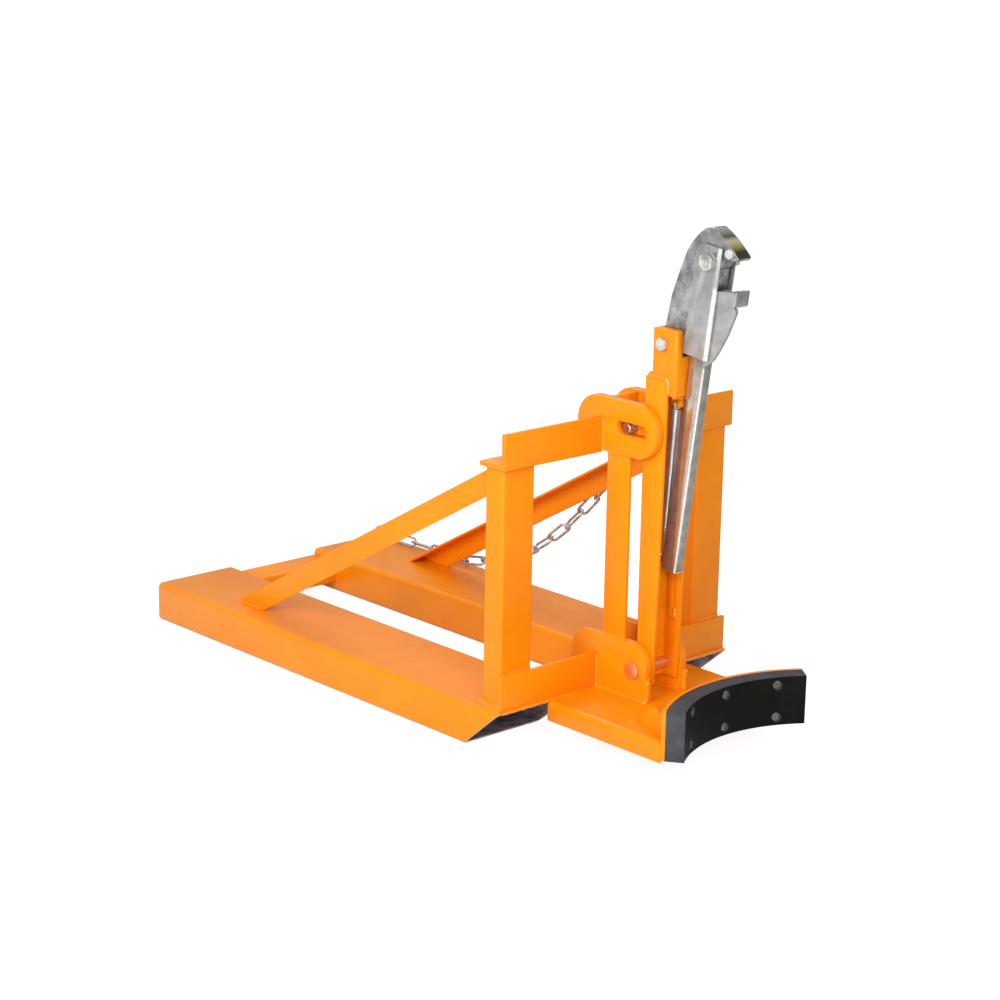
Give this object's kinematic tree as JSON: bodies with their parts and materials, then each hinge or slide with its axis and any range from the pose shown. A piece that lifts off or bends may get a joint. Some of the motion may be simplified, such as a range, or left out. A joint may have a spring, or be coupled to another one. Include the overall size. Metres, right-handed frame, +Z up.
{
  "type": "forklift_drum_clamp",
  "caption": "Forklift attachment for steel drums: orange welded frame with two fork pockets, a tilting mast, a beak and jaw that grip the drum's rim, a curved rubber pad and a safety chain.",
  "frame": {"origin": "centre of the footprint on the floor, under the middle of the part's overall box", "axes": "X across the forks, Y along the forks and positive towards the truck, Z up"},
  "size_m": [0.636, 1.4412, 1.006],
  "materials": {
    "orange_paint": "satin gloss orange paint over welded steel",
    "zinc_steel": "bright zinc plated steel with fine scratches",
    "zinc_fasteners": "dull zinc plated bolts, nuts and pins",
    "galvanised_chain": "mottled galvanised chain",
    "black_rubber": "smooth matt black rubber"
  },
  "bodies": {
    "frame": {"pocket_left": "orange_paint", "pocket_right": "orange_paint", "rear_cross_tube": "orange_paint", "post_left": "orange_paint", "post_right": "orange_paint", "lower_angle_left": "orange_paint", "lower_angle_right": "orange_paint", "upper_angle_left": "orange_paint", "upper_angle_right": "orange_paint", "brace_left": "orange_paint", "brace_right": "orange_paint", "lower_cheek_left": "orange_paint", "lower_cheek_right": "orange_paint", "upper_cheek_left": "orange_paint", "upper_cheek_right": "orange_paint", "upper_web": "orange_paint", "tie_bar_left": "orange_paint", "tie_bar_right": "orange_paint", "saddle": "orange_paint", "saddle_gussets": "orange_paint", "front_plate": "orange_paint", "rubber_pad": "black_rubber", "pad_bolts": "zinc_fasteners", "pad_nuts": "zinc_fasteners", "mast_pivot_pin": "zinc_fasteners", "pivot_washers": "zinc_fasteners", "chain_lugs": "orange_paint", "safety_chain": "galvanised_chain"},
    "mast": {"mast_channel": "orange_paint", "mast_liner": "orange_paint", "stop_lug": "orange_paint", "stop_pin": "zinc_fasteners", "head_tube": "orange_paint", "spring_tab": "orange_paint", "beak_bolt": "zinc_fasteners", "beak_spacers": "zinc_fasteners", "spring": "zinc_steel"},
    "beak": {"beak": "zinc_steel", "nose_stud": "zinc_fasteners"},
    "jaw": {"jaw_channel": "zinc_steel", "jaw_rib": "zinc_steel", "jaw_lip": "zinc_steel", "jaw_foot": "zinc_steel", "jaw_bolt": "zinc_fasteners", "jaw_washers": "zinc_fasteners", "lever": "zinc_steel", "lever_eye": "zinc_steel"}
  },
  "joints": [
    {"name": "mast_tilt", "type": "hinge", "parent": "frame", "child": "mast", "pos_m": [0, -0.47542, 0.142], "axis": [1, 0, 0], "range_deg": [-1.4, 5.4]},
    {"name": "beak_pivot", "type": "hinge", "parent": "mast", "child": "beak", "pos_m": [0, -0.50842, 0.78], "axis": [1, 0, 0], "range_deg": [0, 28], "deforming": ["spring"]},
    {"name": "jaw_pivot", "type": "hinge", "parent": "beak", "child": "jaw", "pos_m": [0, -0.60842, 0.946], "axis": [1, 0, 0], "range_deg": [-22, 0.2]}
  ],
  "couplings": [
    {"joint": "jaw_pivot", "follows": "beak_pivot", "ratio": -0.78}
  ]
}
